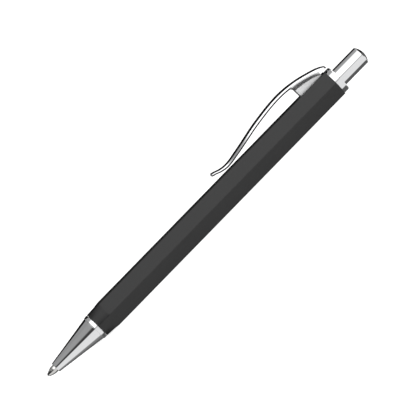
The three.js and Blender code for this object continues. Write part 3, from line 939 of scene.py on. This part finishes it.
def makeRoot():
    corner, count = root["corner"], root["filletRings"]
    rings = []
    for k in range(1, count + 1):
        ahead = 1 - math.sin(math.pi / 2 * k / count)
        rings.append(bothSides(rootFront - root["fillet"] * ahead, filletRing(ahead)))
    corners = [corner * (1 - math.cos(a)) for a in (0, 0.3, 0.6, 0.9, 1.2, math.pi / 2)]
    rows = root["rings"]
    along = corners + [corner + (root["length"] - corner) * i / rows for i in range(1, rows + 1)]
    for distance in along:
        back = max(corner - distance, 0)
        turnedIn = corner - math.sqrt(corner**2 - back**2)
        at = rootFront + distance
        rings.append(bothSides(at, rootRing(at, flat + root["lap"], 0, turnedIn)))
    return skinRings("clipRoot", rings, satinChromePaintedLight, crisp=30)


def makeLug():
    front = clipEnd - lug["reach"]
    rear = clipEnd - lug["reach"] + lug["length"]
    top = flat + lug["intoRoot"]
    toeEnd, toeTop = front - lug["toe"], lug["toeTop"]
    toe = toeTop - lug["toeThickness"]
    outline = [(rear, top), (front, top), (front, toeTop), (toeEnd, toeTop), (toeEnd, toe), (rear, toe)]
    sides = (-lug["halfWidth"], lug["halfWidth"])
    rings = [[place(at, side, height) for at, height in outline] for side in sides]
    return skinRings("clipLug", rings, satinChromePaintedLight, crisp=30)


arm = makeArm()
bendStart = place(rootFront - root["fillet"], 0, clip["bendHeights"][0])
bendEnd = place(clipTip + clip["bendEnd"], 0, clip["bendHeights"][1])
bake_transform(arm)
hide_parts("clip")
for piece in (makeRoot(), makeLug()):
    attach(piece, "barrel")
print("clip made")

# Hidden parts keep their own solids
for name, material in {
    "threaded_bushing": turnedBrass,
    "cam_sleeve": paleAcetal,
    "rotor_cam": paleAcetal,
    "plunger": blackAcetal,
    "refill_plug": blackAcetal,
    "ink_column": inkPaste,
}.items():
    nodes[name].data.materials.clear()
    nodes[name].data.materials.append(material)
print("hidden parts painted")

# Studio: soft cards drawn in the world's light, at these strengths
studio = {
    "white": 1.6,
    "grey": 0.385,
    "greyEnds": 0.7,
    "black": 0.01,
    "floor": 0.87,
    "underside": 0.11,
    "undersideEnds": 0.4,
    "horizon": 0.55,
    "noseCard": 0.36,
    "noseOverhead": 0.32,
    "noseHorizon": 0.055,
    "noseUnderside": 0.27,
    "noseUnderEdge": 0.13,
    "noseBehind": 0.5,
    "ahead": 0.03,
    "aheadLow": 0.1,
}
# Where the cards fade in along the pen: how far a direction points towards its tip or its button
fadesAlong = {
    "nose": (0.05, 0.22),
    "ends": (0.04, 0.16),
    "noseBehind": (0.2, 0.3),
    "aheadLow": (0.3, 0.5),
    "ahead": (0.46, 0.6),
    "tip": (0.6, 0.66),
    "button": (0.56, 0.64),
}
# Where they fade in round the pen, in degrees up from the front, over the top and down behind
fadesRound = {
    "under": (-86, -78),
    "noseUnder": (-142, -88),
    "aheadLow": (-115, -95),
    "lowLine": (-8, -2),
    "horizon": (-1, 1),
    "line": (2, 11),
    "noseLine": (14, 30),
    "overhead": (64, 84),
    "aheadTop": (112, 122),
    "behind": (117, 123),
    "below": (150, 158),
}


def mixed(first, second, share):
    return first + (second - first) * share


def makeWorld():
    world = bpy.data.worlds.new("studioWorld")
    bpy.context.scene.world = world
    tree = emptied(world)
    direction = tree.node("ShaderNodeTexCoord").outputs["Generated"]
    axes = tree.node("ShaderNodeSeparateXYZ", Vector=direction)
    x, y, z = (tree.value(axes, name) for name in "XYZ")
    angle = z.maths("ARCTAN2", z, -y) * (180 / math.pi)

    toNose = (-x).step(*fadesAlong["nose"])
    toTip = (-x).step(*fadesAlong["tip"])
    toButton = x.step(*fadesAlong["button"])
    notBelow = 1 - angle.maths("ABSOLUTE", angle).step(*fadesRound["below"])
    ends = (x * x).step(*fadesAlong["ends"])
    raised = angle.step(*fadesRound["horizon"])

    card = mixed(studio["white"], studio["noseCard"], toNose)
    overhead = mixed(mixed(studio["grey"], studio["greyEnds"], ends), studio["noseOverhead"], toNose)
    behind = mixed(studio["black"], studio["white"], toButton * notBelow)
    behind = mixed(behind, studio["noseBehind"], (-x).step(*fadesAlong["noseBehind"]) * notBelow)
    line = mixed(studio["horizon"], studio["noseHorizon"], toNose)
    lineFade = [mixed(fadesRound["line"][k], fadesRound["noseLine"][k], toNose) for k in (0, 1)]
    upper = mixed(line, card, angle.step(*lineFade))
    upper = mixed(upper, overhead, angle.step(*fadesRound["overhead"]))
    upper = mixed(upper, behind, angle.step(*fadesRound["behind"]))
    ahead = (-x).step(*fadesAlong["ahead"]) * raised * (1 - angle.step(*fadesRound["aheadTop"]))
    upper = mixed(upper, studio["ahead"], ahead)

    noseUnder = mixed(studio["noseUnderEdge"], studio["noseUnderside"], angle.step(*fadesRound["noseUnder"]))
    under = mixed(mixed(studio["underside"], studio["undersideEnds"], ends * notBelow), noseUnder, toNose)
    under = mixed(under, studio["floor"], (toButton + toTip) * notBelow)
    front = mixed(studio["floor"], line, angle.step(*fadesRound["lowLine"]))
    lower = mixed(under, front, angle.step(*fadesRound["under"]))
    aheadLow = (-x).step(*fadesAlong["aheadLow"]) * (1 - toTip) * (1 - angle.step(*fadesRound["aheadLow"]))
    lower = mixed(lower, studio["aheadLow"], aheadLow)

    lit = tree.node("ShaderNodeBackground", Color=(1, 1, 1, 1), Strength=mixed(lower, upper, raised))
    white = tree.node("ShaderNodeBackground", Color=(1, 1, 1, 1), Strength=1.0)
    seen = tree.node("ShaderNodeLightPath").outputs["Is Camera Ray"]
    chosen = tree.joined("ShaderNodeMixShader", lit, white, Fac=seen)
    tree.node("ShaderNodeOutputWorld", Surface=chosen.outputs[0])


paleFloor = {"half": 3.0, "drop": 0.00002, "paint": 0.8, "glow": 0.8}


def makeFloor():
    half = paleFloor["half"]
    corners = [(-half, -half, 0), (half, -half, 0), (half, half, 0), (-half, half, 0)]
    mesh = bpy.data.meshes.new("paleFloor")
    mesh.from_pydata(corners, [], [(0, 1, 2, 3)])
    floor = bpy.data.objects.new("paleFloor", mesh)
    bpy.context.scene.collection.objects.link(floor)
    floor.location.z = cadBox[0].z - paleFloor["drop"]
    floor.visible_glossy = False  # metal shows the world's own lower half instead
    material = bpy.data.materials.new("paleFloor")
    tree = emptied(material)
    seen = tree.node("ShaderNodeLightPath").outputs["Is Camera Ray"]
    paint = tree.node("ShaderNodeBsdfDiffuse", Color=(*[paleFloor["paint"]] * 3, 1))
    glow = tree.node("ShaderNodeEmission", Color=(1, 1, 1, 1), Strength=paleFloor["glow"])
    lit = tree.joined("ShaderNodeAddShader", paint, glow)
    shown = tree.joined("ShaderNodeMixShader", paint, lit, Fac=seen)
    tree.node("ShaderNodeOutputMaterial", Surface=shown.outputs[0])
    mesh.materials.append(material)


makeWorld()
makeFloor()
bpy.context.scene.view_settings.view_transform = "Standard"
print("studio made")

# Camera: a long lens from the side, a little above the pen and nearer to its nose, rolled so the pen rises
view = {
    "at": 71.77,
    "height": -0.08,
    "azimuth": -2.5,
    "elevation": 6.3,
    "distance": 1.3,
    "pixelsPerMetre": 3228,
    "frame": 420,
    "slope": 45.69,
}


def makeCamera():
    data = bpy.data.cameras.new("sideCamera")
    data.sensor_width = 36
    data.lens = data.sensor_width * view["pixelsPerMetre"] * view["distance"] / view["frame"]
    data.clip_start, data.clip_end = 0.01, 20
    camera = bpy.data.objects.new("sideCamera", data)
    bpy.context.scene.collection.objects.link(camera)
    a, e = math.radians(view["azimuth"]), math.radians(view["elevation"])
    back = Vector((math.sin(a) * math.cos(e), -math.cos(a) * math.cos(e), math.sin(e)))
    along = (Vector((1, 0, 0)) - back * back.x).normalized()
    above = back.cross(along)
    turn = math.radians(view["slope"])
    right = along * math.cos(turn) - above * math.sin(turn)
    up = along * math.sin(turn) + above * math.cos(turn)
    rotation = Matrix((right, up, back)).transposed()
    target = place(view["at"], 0, view["height"])
    camera.matrix_world = Matrix.Translation(target + back * view["distance"]) @ rotation.to_4x4()
    bpy.context.scene.camera = camera


makeCamera()
print("camera placed")
